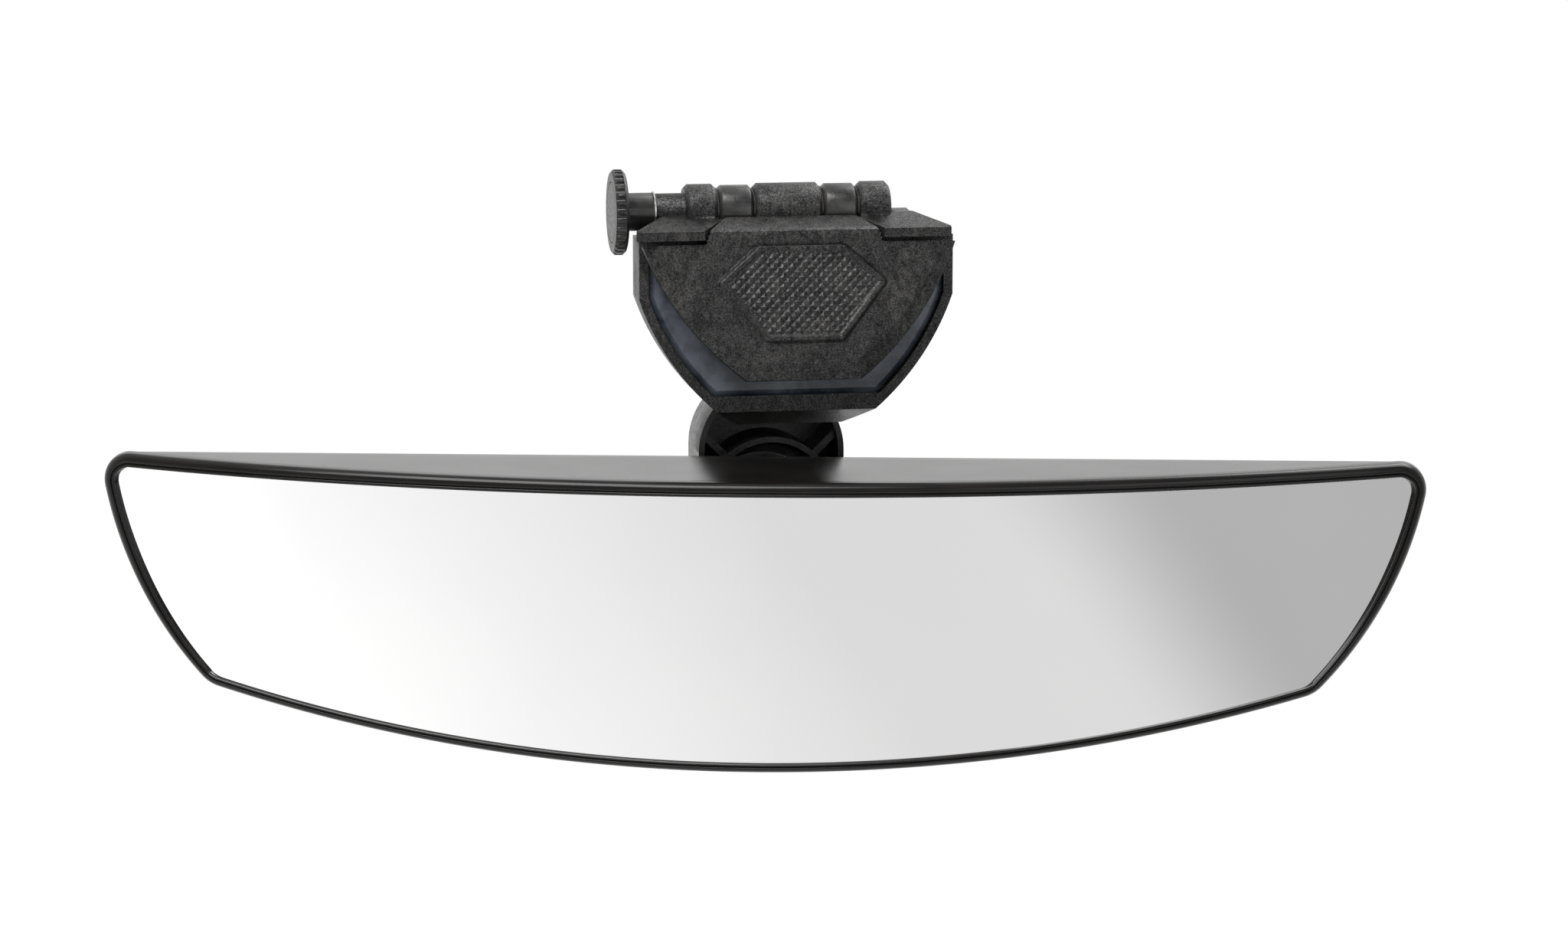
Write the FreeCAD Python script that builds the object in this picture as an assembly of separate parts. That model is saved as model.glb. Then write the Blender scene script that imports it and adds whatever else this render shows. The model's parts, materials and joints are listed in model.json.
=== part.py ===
"""Clamp-on panoramic interior mirror: hinged two-jaw clamp, lock knob, drop arm, ball joint, mirror head.

Everything is modelled from the clamp's hinge axis (x right, y away from the driver, z up, millimetres).
finish() then moves each piece so that the origin is the middle of the rear jaw's grip face.
"""
import FreeCAD, Part
import math
import os

V = FreeCAD.Vector
X_AXIS = V(1, 0, 0)
Y_AXIS = V(0, 1, 0)
Z_AXIS = V(0, 0, 1)

# Hinge stack, lengths along x from its own middle, which sits HINGE_X from the jaws' middle
HINGE_X = -1.9
HINGE_Y = 7.0
BARREL_R = 7.2
SLEEVE_CLEAR = 0.6
SLEEVE_R = 6.8
KNUCKLE_EDGE = 1.0
CENTRE_HALF = 9.0
SLEEVE_IN = 9.5
SLEEVE_OUT = 18.9
EAR_IN = 19.4
EAR_OUT = 27.9
WASHER_GAP = 0.05
WASHER_R = 5.6
BOLT_R = 3.0
RUNNING = 0.05
BOSS_END = 35.9
BOSS_R = 4.85
NUT_FLATS = 10.0
NUT_THICK = 4.0
NUT_OUTER = 27.3

# Lock knob
THRUST_THICK = 0.4
HUB_R = 5.1
HUB_END = 43.9
KNOB_R = 11.5
KNOB_THICK = 3.5
FLUTES = 30
FLUTE_R = 0.75
CAP_R = 8.2
CAP_DEPTH = 1.0

# Rear jaw
JAW_DEPTH = 12.0
JAW_HALF = 42.8
JAW_SHOULDER_Z = -23.0
JAW_SIDE_MID = (33.9, -40.6)
JAW_FOOT = (14.6, -59.4)
RIM_BOTTOM_Z = -54.0
JAW_TOP_Z = -6.8
RIM_WIDTH = 2.5
RIM_FOOT = 4.4
RECESS_DEPTH = 3.0
PAD_FACE_Y = 0.8
SCOOP_R = 11.6
BACK_WALL = 2.6
BACK_POCKET_Y = 6.5
RIB_THICK = 2.0
RIB_LOW = -62
JAW_RIBS_X = (-30, -20, 0, 20, 30)
WING_LIP_Y = -8.0
WING_TOP_Z = -3.9
WING_UNDER_Z = -6.3
WING_BACK_Z = -0.6
WING_BACK_HALF = 33.2
WING_HALF = 42.6
WING_IN_BACK = 17.9
WING_IN_FRONT = 24.3

# Front jaw
LEAN = 13.0
PLATE_TOP = V(0, -6.5, -7.6)
PLATE_THICK = 4.5
BEVEL_DEPTH = 2.0
PLATE_HALF = 42.5
PLATE_MID = (33.2, -18.0)
PLATE_FOOT = (15.6, -36.5)
FACE_HALF = 38.6
FACE_MID = (29.8, -16.0)
FACE_FOOT = (13.8, -32.0)
WING_GAP = 0.4
DECK_FRONT = ((-0.9, -1.0), (-6.3, -3.45), (-7.2, -4.2), (-7.5, -5.2), (-7.0, -7.4), (-6.75, -8.6))
DECK_UNDER = ((-4.0, -8.6), (-3.2, -8.4), (-2.8, -7.3), (-1.9, -6.0), (-0.9, -3.0))
WING_SWEEP_LOW = -7.4
JAW_CLOSING = 10
GRIP_HALF = 22.2
GRIP_TOP = (11.6, -1.3)
GRIP_TIP_Z = -10.6
GRIP_FOOT = (10.2, -25.6)
GRIP_RAISE = 0.6
FRONT_PAD_THICK = 1.2
FRONT_PAD_TOP = -9.0

# Ball joint, centred on BALL; the head is turned by HEAD_TURN about the vertical
BALL = V(0, 38.0, -84.0)
HEAD_TURN = -12.3
BALL_R = 9.0
LINER_IN = 9.2
LINER_OUT = 12.0
LINER_FRONT = -6.0
LINER_BACK = 7.5
CUP_R = 12.25
HUB_OUT = 18.0
HUB_IN = 16.4
HUB_FRONT = -8.5
RING_R = 15.8
RING_FRONT = -9.6
RING_MOUTH = 8.8
NECK_R = 3.5
COLLAR_R = 5.5
COLLAR_FRONT = -17.2
COLLAR_BACK = -14.5
SHANK_R = 3.0
SHANK_END = -34.0
STUD_NUT_FLATS = 10.0
STUD_NUT_THICK = 5.0

# Drop arm
SHROUD_R = 20.4
SHROUD_WALL = 1.6
SHROUD_UP = 14.0
SHROUD_DOWN = -2.0
SHROUD_RIM = -9.0
SHROUD_FLOOR = 7.5
SHROUD_BACK = 10.0
BACK_BOSS_R = 9.0
BACK_BOSS_END = 19.0
ARM_FRONT_Y = 12.9
ARM_HALF_TOP = 18.9
ARM_HALF_LOW = 13.0
SCREW_R = 4.0
PRESSURE_R = 5.2

# Mirror head, measured from the ball centre
HEAD_BACK = -22.0
END_DEPTH = 9.0
HEAD_SAG = 41.0
HEAD_TOP = 16.0
SIDE_TOP = (182.2, 16.0)
SIDE_MID = (174.1, -13.8)
SIDE_FOOT = (150.7, -46.0)
HEAD_BOTTOM = -62.3
HEAD_HALF = 178.0
TOP_CORNER_R = 8.0
FOOT_CORNER_R = 10.0
BEZEL_DEPTH = 5.0
LIP_THICK = 1.4
GLASS_THICK = 2.0
CARRIER_THICK = 1.6
BEZEL_INSETS = (3.8, 3.4, 2.5)
POCKET_MARGIN = 1.3
GLASS_CLEAR = 0.2
SHELL_INSET = 0.8
SHELL_WALL = 2.2
SHELL_EDGE_R = 2.0
SCREW_POSTS = [(-125, -8), (125, -8), (-70, 2), (70, 2), (-70, -44), (70, -44)]
POST_R = 3.4
POST_SCREW_R = 1.5
POST_HEAD_R = 3.0
POST_HEAD = 1.8
FLANGE_R = 16.0
FLANGE_EDGE = -20.8
FLANGE_TOP_R = 7.5
FLANGE_TOP = -17.4
PLATE_SCREW_RADIUS = 12.0
PLATE_SCREW_R = 1.5
STUD_PLATE_HALF = (24.0, 13.0)
STUD_PLATE_THICK = 2.5
STUD_PLATE_LOW = -13.0

# The origin: middle of the rear jaw's grip face
GRIP_CENTRE = V(0, PAD_FACE_Y, -30.0)


def face_from(edges):
    """A flat face from a closed run of edges."""
    return Part.Face(Part.Wire(Part.__sortEdges__(edges)))


def polygon(points):
    """A flat face from corner points."""
    return Part.Face(Part.makePolygon(points + [points[0]]))


def rod(radius, x0, x1, centre=V(0, HINGE_Y, 0)):
    """A cylinder along x, by default on the hinge axis."""
    return Part.makeCylinder(radius, x1 - x0, V(x0, centre.y, centre.z), X_AXIS)


def bar(radius, y0, y1, x=0.0, z=0.0):
    """A cylinder along y, measured from the ball centre."""
    return Part.makeCylinder(radius, y1 - y0, V(x, y0, z), Y_AXIS)


def side_prism(points, x0, x1):
    """A (y, z) outline carried from x0 to x1."""
    face = polygon([V(x0, y, z) for y, z in points])
    return face.extrude(V(x1 - x0, 0, 0))


def turned(profile):
    """A solid of revolution about y, from (radius, y) points."""
    return polygon([V(r, y, 0) for r, y in profile]).revolve(V(0, 0, 0), Y_AXIS, 360)


def hexagon(flats, y0, y1):
    """A hexagonal prism along y."""
    corner = flats / math.sqrt(3)
    turns = [math.radians(60 * i) for i in range(6)]
    points = [V(corner * math.cos(turn), y0, corner * math.sin(turn)) for turn in turns]
    return polygon(points).extrude(V(0, y1 - y0, 0))


def both_sides(shape):
    """The shape and its mirror image across the middle plane."""
    return [shape, shape.mirror(V(0, 0, 0), X_AXIS)]


def on_stack(shape):
    """A piece drawn about the middle of the hinge stack, moved to its place between the jaws' ends."""
    placed = shape.copy()
    placed.translate(V(HINGE_X, 0, 0))
    return placed


def joined(first, others):
    """One solid from pieces that meet."""
    return first.multiFuse(others).removeSplitter()


def shield(half, shoulder, mid, foot, y, top):
    """A face with straight shoulders and bowed sides running in to a flat foot, in a plane of constant y."""
    corners = [V(half, y, top), V(half, y, shoulder)] if shoulder < top else [V(half, y, top)]
    edges = [Part.makeLine(V(-half, y, top), V(half, y, top))]
    if shoulder < top:
        edges.append(Part.makeLine(corners[0], corners[1]))
        edges.append(Part.makeLine(V(-half, y, top), V(-half, y, shoulder)))
    start = corners[-1]
    end = V(foot[0], y, foot[1])
    edges.append(Part.Arc(start, V(mid[0], y, mid[1]), end).toShape())
    edges.append(Part.Arc(V(-start.x, y, start.z), V(-mid[0], y, mid[1]), V(-end.x, y, end.z)).toShape())
    edges.append(Part.makeLine(end, V(-end.x, y, end.z)))
    return face_from(edges)


def jaw_outline(inset, y):
    """The rear jaw's outline, drawn in by a distance."""
    face = shield(JAW_HALF, JAW_SHOULDER_Z, JAW_SIDE_MID, JAW_FOOT, y, JAW_TOP_Z)
    return face if inset == 0 else face.makeOffset2D(-inset)


def below_slant(offset):
    """Everything under the jaw's slanted foot, which runs down and back from the rim."""
    drop = JAW_FOOT[1] - RIM_BOTTOM_Z
    far = 40.0
    points = [
        (-1.0, RIM_BOTTOM_Z - drop / JAW_DEPTH + offset),
        (JAW_DEPTH + 1.0, JAW_FOOT[1] + drop / JAW_DEPTH + offset),
    ]
    return side_prism(points + [(JAW_DEPTH + 1.0, -far * 2), (-1.0, -far * 2)], -JAW_HALF, JAW_HALF)


def knuckle(x0, x1, radius, edge):
    """A hinge knuckle with broken edges."""
    solid = rod(radius, x0, x1)
    rims = [e for e in solid.Edges if isinstance(e.Curve, Part.Circle)]
    return solid.makeChamfer(edge, rims)


def wing_profile(under):
    """Side view of a wing: sloping top, upright lip, flat underside."""
    return [
        (HINGE_Y, WING_BACK_Z + 0.4),
        (2.0, WING_BACK_Z),
        (WING_LIP_Y, WING_TOP_Z),
        (WING_LIP_Y, under),
        (0.0, under),
        (0.0, JAW_TOP_Z),
        (HINGE_Y, JAW_TOP_Z),
    ]


def wing_plan(gap):
    """Plan of the right wing from above; gap widens it towards the middle for the front jaw's clearance."""
    return [
        (WING_IN_BACK - gap + 1.5, HINGE_Y + 2),
        (WING_IN_BACK - gap + 1.5, 0.4),
        (WING_IN_BACK - gap, -0.4),
        (WING_IN_FRONT - gap, WING_LIP_Y + 0.6),
        (WING_IN_FRONT - gap, WING_LIP_Y - 2.0),
        (WING_HALF, WING_LIP_Y - 2.0),
        (WING_HALF, WING_LIP_Y + 1.0),
        (WING_BACK_HALF, HINGE_Y - 4.0),
        (WING_BACK_HALF, HINGE_Y + 2),
    ]


def plan_prism(points, z0, z1):
    """An (x, y) outline carried from z0 to z1."""
    return polygon([V(x, y, z0) for x, y in points]).extrude(V(0, 0, z1 - z0))


def wing():
    """The right wing."""
    slab = side_prism(wing_profile(WING_UNDER_Z), WING_IN_BACK - 1, WING_HALF)
    return slab.common(plan_prism(wing_plan(0), -20, 10))


def hinge_bore(x0, x1):
    """The running bore for the bolt."""
    return rod(BOLT_R + RUNNING, x0, x1)


def rear_jaw():
    """Shield-shaped jaw with a rim, a padded recess, ears, wings and the knob's boss."""
    body = jaw_outline(0, 0).extrude(V(0, JAW_DEPTH, 0)).cut(below_slant(0))
    recess = jaw_outline(RIM_WIDTH, -1).extrude(V(0, RECESS_DEPTH + 1, 0))
    body = body.cut(recess.cut(below_slant(RIM_FOOT)))
    pocket = jaw_outline(BACK_WALL, BACK_POCKET_Y).extrude(V(0, JAW_DEPTH, 0)).cut(below_slant(BACK_WALL * 2))
    rib = Part.makeBox(RIB_THICK, JAW_DEPTH, -RIB_LOW, V(-RIB_THICK / 2, 0, RIB_LOW))
    ribs = [rib.translated(V(x, 0, 0)) for x in JAW_RIBS_X]
    keep = Part.makeBox(2 * JAW_HALF, JAW_DEPTH + 2, 12, V(-JAW_HALF, -1, -20))
    body = body.cut(pocket.cut(ribs[0].multiFuse(ribs[1:] + [keep])))
    body = body.cut(on_stack(rod(SCOOP_R, -EAR_IN, EAR_IN)))
    clearance = on_stack(rod(BARREL_R + SLEEVE_CLEAR, -EAR_IN, EAR_IN))
    wings = [on_stack(side).cut(clearance) for side in both_sides(wing())]
    ear = knuckle(EAR_IN, EAR_OUT, BARREL_R, KNUCKLE_EDGE)
    foot = Part.makeBox(EAR_OUT - EAR_IN, JAW_DEPTH, 10, V(EAR_IN, 0.0, JAW_TOP_Z - 1.5))
    foot = foot.cut(Part.makeBox(20, 20, 20, V(EAR_IN - 5, -1, -1.5)))
    boss = rod(BOSS_R, -BOSS_END, -EAR_OUT)
    ears = [on_stack(piece) for piece in both_sides(ear) + both_sides(foot) + [boss]]
    jaw = joined(body, wings + ears)
    jaw = jaw.cut(on_stack(hinge_bore(-BOSS_END - 1, EAR_OUT + 1)))
    nut_pocket = nut_shape(NUT_OUTER - NUT_THICK, EAR_OUT + 1)
    return jaw.cut(on_stack(nut_pocket))


def nut_shape(x0, x1):
    """A hexagon on the hinge axis."""
    corner = NUT_FLATS / math.sqrt(3)
    angles = [math.radians(60 * i) for i in range(6)]
    return side_prism([(HINGE_Y + corner * math.cos(a), corner * math.sin(a)) for a in angles], x0, x1)


def lock_nut():
    """Captive nut in the right ear, with thread clearance on the bolt."""
    return nut_shape(NUT_OUTER - NUT_THICK, NUT_OUTER).cut(hinge_bore(0, EAR_OUT))


def rear_pad():
    """Smooth grip pad lying in the rear jaw's recess, with a sloped edge."""
    slope = RECESS_DEPTH - PAD_FACE_Y
    base = jaw_outline(RIM_WIDTH, RECESS_DEPTH).extrude(V(0, -slope, 0))
    base = base.cut(below_slant(RIM_FOOT))
    boxes = [(edge, edge.BoundBox) for edge in base.Edges]
    front = [e for e, box in boxes if max(abs(box.YMin - PAD_FACE_Y), abs(box.YMax - PAD_FACE_Y)) < 1e-6]
    base = base.makeChamfer(slope * 0.8, front)
    return base.cut(on_stack(rod(SCOOP_R, -EAR_IN, EAR_IN)))


def friction_washers():
    """Four thin washers between the knuckles."""
    spans = [
        (CENTRE_HALF + WASHER_GAP, SLEEVE_IN - WASHER_GAP),
        (SLEEVE_OUT + WASHER_GAP, EAR_IN - WASHER_GAP),
    ]
    rings = [rod(WASHER_R, a, b).cut(hinge_bore(a - 1, b + 1)) for a, b in spans]
    return Part.makeCompound([piece for ring in rings for piece in both_sides(ring)])


def thrust_washer():
    """Bright washer between the knob's hub and the ear's boss."""
    start = -BOSS_END - THRUST_THICK
    return rod(HUB_R + 0.3, start, -BOSS_END).cut(rod(BOLT_R, start - 1, 0))


def lock_knob():
    """Fluted hand wheel with a plain hub."""
    hub = rod(HUB_R, -HUB_END, -BOSS_END - THRUST_THICK)
    wheel = knuckle(-HUB_END - KNOB_THICK, -HUB_END, KNOB_R, 0.8)
    knob = hub.fuse(wheel)
    cutters = []
    for i in range(FLUTES):
        angle = 2 * math.pi * i / FLUTES
        centre = V(0, HINGE_Y + KNOB_R * math.cos(angle), KNOB_R * math.sin(angle))
        cutters.append(rod(FLUTE_R, -HUB_END - KNOB_THICK - 1, -HUB_END - 1.0, centre))
    knob = knob.cut(Part.makeCompound(cutters))
    knob = knob.cut(rod(CAP_R, -HUB_END - KNOB_THICK, -HUB_END - KNOB_THICK + CAP_DEPTH))
    return knob.cut(rod(BOLT_R, -HUB_END - KNOB_THICK, 0))


def knob_cap():
    """Shallow cap pressed into the knob's outer face."""
    outer = -HUB_END - KNOB_THICK
    return knuckle(outer, outer + CAP_DEPTH, CAP_R, 0.3)


def hinge_bolt():
    """The bolt moulded into the knob, running through every knuckle to the nut."""
    return rod(BOLT_R, -HUB_END - KNOB_THICK + CAP_DEPTH, NUT_OUTER)


def leaned(shape):
    """A piece drawn against an upright plate, laid back to the front jaw's lean."""
    placed = shape.copy()
    placed.translate(PLATE_TOP)
    placed.rotate(PLATE_TOP, X_AXIS, -LEAN)
    return placed


def plate_outline(half, mid, foot, y):
    """Outline of the front jaw's plate."""
    return shield(half, 0, mid, foot, y, 0)


def grip_outline(margin, y):
    """The hexagonal grip panel, wider than tall."""
    half = GRIP_HALF + margin
    top = GRIP_TOP[0] + margin * 0.6
    foot = GRIP_FOOT[0] + margin * 0.6
    points = [(top, GRIP_TOP[1] + margin), (half, GRIP_TIP_Z), (foot, GRIP_FOOT[1] - margin)]
    ring = points + [(-x, z) for x, z in reversed(points)]
    return polygon([V(x, y, z) for x, z in ring])


def front_jaw():
    """Plate with a bevelled shield face, a raised grip panel, a sloping top and the centre knuckle."""
    outer = plate_outline(PLATE_HALF, PLATE_MID, PLATE_FOOT, BEVEL_DEPTH)
    slab = outer.extrude(V(0, PLATE_THICK - BEVEL_DEPTH, 0))
    inner = plate_outline(FACE_HALF, FACE_MID, FACE_FOOT, 0)
    bevel = Part.makeLoft([outer.OuterWire, inner.OuterWire], True, True)
    grip = Part.makeLoft([grip_outline(0.6, 0).OuterWire, grip_outline(0, -GRIP_RAISE).OuterWire], True, True)
    plate = leaned(joined(slab, [bevel, grip]))
    deck = on_stack(side_prism(DECK_FRONT + DECK_UNDER, -WING_IN_FRONT, WING_IN_FRONT))
    for turn in range(0, -JAW_CLOSING - 1, -JAW_CLOSING // 2):
        sweep = plan_prism(wing_plan(WING_GAP), WING_SWEEP_LOW, 10)
        sweep.rotate(V(0, HINGE_Y, 0), X_AXIS, turn)
        deck = deck.cut(on_stack(Part.makeCompound(both_sides(sweep))))
    neck_side = [(HINGE_Y, -1.0), (-1.4, -1.2), (-1.4, -6.4), (HINGE_Y, -BARREL_R)]
    neck = side_prism(neck_side, -CENTRE_HALF, CENTRE_HALF)
    centre = knuckle(-CENTRE_HALF, CENTRE_HALF, BARREL_R, KNUCKLE_EDGE)
    jaw = joined(plate, [deck, on_stack(neck), on_stack(centre)])
    return jaw.cut(on_stack(hinge_bore(-CENTRE_HALF - 1, CENTRE_HALF + 1)))


def front_pad():
    """Grip pad on the back of the front jaw."""
    mid = (PLATE_MID[0] - 3.4, PLATE_MID[1])
    foot = (PLATE_FOOT[0] - 1.5, PLATE_FOOT[1] + 2.5)
    face = plate_outline(PLATE_HALF - 4, mid, foot, PLATE_THICK)
    pad = face.extrude(V(0, FRONT_PAD_THICK, 0))
    return leaned(pad.cut(Part.makeBox(120, 20, 40, V(-60, -5, FRONT_PAD_TOP))))


def at_ball(shape):
    """A piece drawn from the ball centre, moved there and left square to the clamp."""
    placed = shape.copy()
    placed.translate(BALL)
    return placed


def at_head(shape):
    """A piece drawn from the ball centre, moved there and turned with the mirror head."""
    placed = at_ball(shape)
    placed.rotate(BALL, Z_AXIS, HEAD_TURN)
    return placed


def obround(radius, y0, y1):
    """The shroud's long round outline, carried along y."""
    height = SHROUD_UP - SHROUD_DOWN
    straight = Part.makeBox(2 * radius, y1 - y0, height, V(-radius, y0, SHROUD_DOWN))
    return joined(straight, [bar(radius, y0, y1, 0, SHROUD_UP), bar(radius, y0, y1, 0, SHROUD_DOWN)])


def arm():
    """Yoke sleeves on the hinge, a tapering beam behind the jaw, and the ribbed shroud round the ball cup."""
    beam_side = [
        (HINGE_Y + 4.0, 5.5),
        (HINGE_Y + 9.0, 4.5),
        (24.0, -8.0),
        (47.0, -46.0),
        (BALL.y + SHROUD_BACK, -56.0),
        (BALL.y + SHROUD_BACK, -72.0),
        (BALL.y + SHROUD_FLOOR, -72.0),
        (BALL.y + SHROUD_RIM + 3, -52.0),
        (ARM_FRONT_Y, -24.0),
        (ARM_FRONT_Y, -5.0),
    ]
    beam = side_prism(beam_side, -ARM_HALF_TOP, ARM_HALF_TOP)
    half_outline = [(ARM_HALF_TOP, 10), (ARM_HALF_TOP, -8), (ARM_HALF_LOW, -34), (ARM_HALF_LOW, -80)]
    ring = half_outline + [(-x, z) for x, z in reversed(half_outline)]
    beam = beam.common(polygon([V(x, 0, z) for x, z in ring]).extrude(V(0, 80, 0)))
    beam = beam.cut(rod(BARREL_R + 0.8, -SLEEVE_IN, SLEEVE_IN))
    shroud = at_ball(obround(SHROUD_R, SHROUD_RIM, SHROUD_BACK))
    inside = at_ball(obround(SHROUD_R - SHROUD_WALL, SHROUD_RIM - 1, SHROUD_FLOOR))
    sleeve = knuckle(SLEEVE_IN, SLEEVE_OUT, SLEEVE_R, KNUCKLE_EDGE)
    lug = side_prism([(HINGE_Y, 5.5), (HINGE_Y + 6, 5.5), (15, -6), (HINGE_Y, -6)], SLEEVE_IN, SLEEVE_OUT)
    shell = joined(shroud, [beam]).cut(inside)
    hub = at_ball(bar(HUB_OUT, HUB_FRONT, SHROUD_FLOOR))
    back = at_ball(bar(BACK_BOSS_R, SHROUD_FLOOR, BACK_BOSS_END))
    ribs = []
    for lean in (-45, 45):
        length = SHROUD_FLOOR - SHROUD_RIM - 3
        rib = Part.makeBox(RIB_THICK, length, 26, V(-RIB_THICK / 2, SHROUD_RIM + 3, HUB_OUT - 1))
        rib.rotate(V(0, 0, 0), Y_AXIS, lean)
        ribs.append(at_ball(rib).common(at_ball(obround(SHROUD_R - 0.5, SHROUD_RIM, SHROUD_BACK))))
    body = joined(shell, ribs + [hub, back] + both_sides(sleeve) + both_sides(lug))
    body = body.cut(at_ball(bar(HUB_IN, HUB_FRONT - 1, -1.0)))
    body = body.cut(at_ball(Part.makeSphere(CUP_R).fuse(bar(CUP_R, -3, 0))))
    body = body.cut(at_ball(bar(PRESSURE_R, 0, 14.6)))
    body = body.cut(at_ball(bar(SCREW_R, 10, BACK_BOSS_END + 1)))
    return body.cut(hinge_bore(-SLEEVE_OUT - 1, SLEEVE_OUT + 1))


def pressure_pad():
    """Disc that the tension screw presses against the ball's liner."""
    return at_ball(bar(PRESSURE_R, CUP_R + 0.1, 14.6))


def tension_screw():
    """Grub screw in the arm's back, with a hexagon socket."""
    return at_ball(bar(SCREW_R, 14.6, BACK_BOSS_END).cut(hexagon(4.0, BACK_BOSS_END - 3, BACK_BOSS_END + 1)))


def socket_ring():
    """Domed ring that holds the liner in the cup."""
    profile = [
        (RING_MOUTH, RING_FRONT),
        (RING_MOUTH + 2.5, RING_FRONT),
        (RING_R - 0.5, -5.5),
        (RING_R, -4.5),
        (RING_R, -1.0),
        (0, -1.0),
        (0, RING_FRONT),
    ]
    ring = turned(profile).cut(Part.makeSphere(CUP_R))
    mouth = turned([
        (0, RING_FRONT - 1),
        (RING_MOUTH, RING_FRONT - 1),
        (RING_MOUTH, RING_FRONT),
        (8.0, -8.0),
        (8.0, 0),
        (0, 0),
    ])
    return at_ball(ring.cut(mouth).cut(bar(CUP_R, -3.0, 0)))


def ball_liner():
    """Nylon liner: a spherical shell open at both ends."""
    band = Part.makeSphere(LINER_OUT).common(bar(LINER_OUT + 1, LINER_FRONT, LINER_BACK))
    return at_head(band.cut(Part.makeSphere(LINER_IN)))


def ball_stud():
    """Ball, neck, collar and shank in one turned piece."""
    ball = Part.makeSphere(BALL_R)
    neck = bar(NECK_R, COLLAR_BACK, -BALL_R + 1)
    collar = bar(COLLAR_R, COLLAR_FRONT, COLLAR_BACK)
    shank = bar(SHANK_R, SHANK_END, COLLAR_FRONT)
    return at_head(joined(ball, [neck, collar, shank]))


def stud_nut():
    """Nut on the shank's end, inside the housing."""
    back = HEAD_BACK - SHELL_WALL - STUD_PLATE_THICK - 0.3
    return at_head(hexagon(STUD_NUT_FLATS, back - STUD_NUT_THICK, back).cut(bar(SHANK_R, back - 10, 0)))


def circle_through(a, b, c):
    """Centre and radius of the circle through three (x, z) points."""
    arc = Part.Arc(V(a[0], 0, a[1]), V(b[0], 0, b[1]), V(c[0], 0, c[1])).toShape()
    return arc.Curve.Center, arc.Curve.Radius


def head_prism(insets, y0, y1, corners):
    """The head's outline, flat on top and bowed elsewhere, carried along y; insets are top, side, bottom."""
    top, side, bottom = insets
    side_centre, side_r = circle_through(SIDE_TOP, SIDE_MID, SIDE_FOOT)
    foot_centre, foot_r = circle_through(SIDE_FOOT, (0, HEAD_BOTTOM), (-SIDE_FOOT[0], SIDE_FOOT[1]))
    half = HEAD_HALF + 10
    low = HEAD_TOP - top - 120
    block = Part.makeBox(2 * half, y1 - y0, 120, V(-half, y0, low))
    inner = Part.makeBox(half + side_centre.x, y1 - y0, 120, V(-half, y0, low))
    for bowed in both_sides(inner.fuse(bar(side_r - side, y0, y1, side_centre.x, side_centre.z))):
        block = block.common(bowed)
    block = block.common(bar(foot_r - bottom, y0, y1, 0, foot_centre.z))
    upright = [e for e in block.Edges if e.BoundBox.XLength < 1e-6 and e.BoundBox.ZLength < 1e-6]
    tops = [e for e in upright if e.BoundBox.ZMax > 0]
    feet = [e for e in upright if e.BoundBox.ZMax < 0]
    return block.makeFillet(corners[0], tops).makeFillet(corners[1], feet)


FRONT_R = (HEAD_HALF ** 2 + HEAD_SAG ** 2) / (2 * HEAD_SAG)
FRONT_Y = HEAD_BACK - END_DEPTH - HEAD_SAG


def curved(depth):
    """Everything behind the head's front curve, set back by a depth."""
    return Part.makeCylinder(FRONT_R - depth, 140, V(0, FRONT_Y + FRONT_R, -100), Z_AXIS)


def grown(insets, by):
    """Insets moved outwards by a distance."""
    return tuple(value - by for value in insets)


def bezel():
    """Curved frame with a front lip and a pocket for the glass."""
    y0 = FRONT_Y - 5
    frame = head_prism((0, 0, 0), y0, HEAD_BACK, (TOP_CORNER_R, FOOT_CORNER_R))
    frame = frame.common(curved(0)).cut(curved(BEZEL_DEPTH))
    frame = frame.cut(head_prism(BEZEL_INSETS, y0 - 1, HEAD_BACK, (4.5, 7.0)))
    pocket = head_prism(grown(BEZEL_INSETS, POCKET_MARGIN), y0, HEAD_BACK, (5.0, 7.5))
    pocket = pocket.common(curved(LIP_THICK))
    return at_head(frame.cut(pocket))


def sheet_in_bezel(depth, thick):
    """A curved sheet that fills the bezel's pocket but for a small clearance."""
    insets = grown(BEZEL_INSETS, POCKET_MARGIN - GLASS_CLEAR)
    prism = head_prism(insets, FRONT_Y - 5, HEAD_BACK, (5.0, 7.5))
    return prism.common(curved(depth)).cut(curved(depth + thick))


def mirror_glass():
    """Convex mirror glass behind the bezel's lip."""
    return at_head(sheet_in_bezel(LIP_THICK, GLASS_THICK))


def glass_carrier():
    """Moulded sheet behind the glass, with posts that reach the back of the housing."""
    depth = LIP_THICK + GLASS_THICK
    sheet = sheet_in_bezel(depth, CARRIER_THICK)
    inner_back = HEAD_BACK - SHELL_WALL
    behind = curved(depth + CARRIER_THICK / 2)
    posts = [bar(POST_R, FRONT_Y, inner_back, x, z).common(behind) for x, z in SCREW_POSTS]
    carrier = joined(sheet, posts)
    for x, z in SCREW_POSTS:
        carrier = carrier.cut(bar(POST_SCREW_R, inner_back - 10, inner_back, x, z))
    return at_head(carrier)


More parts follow.
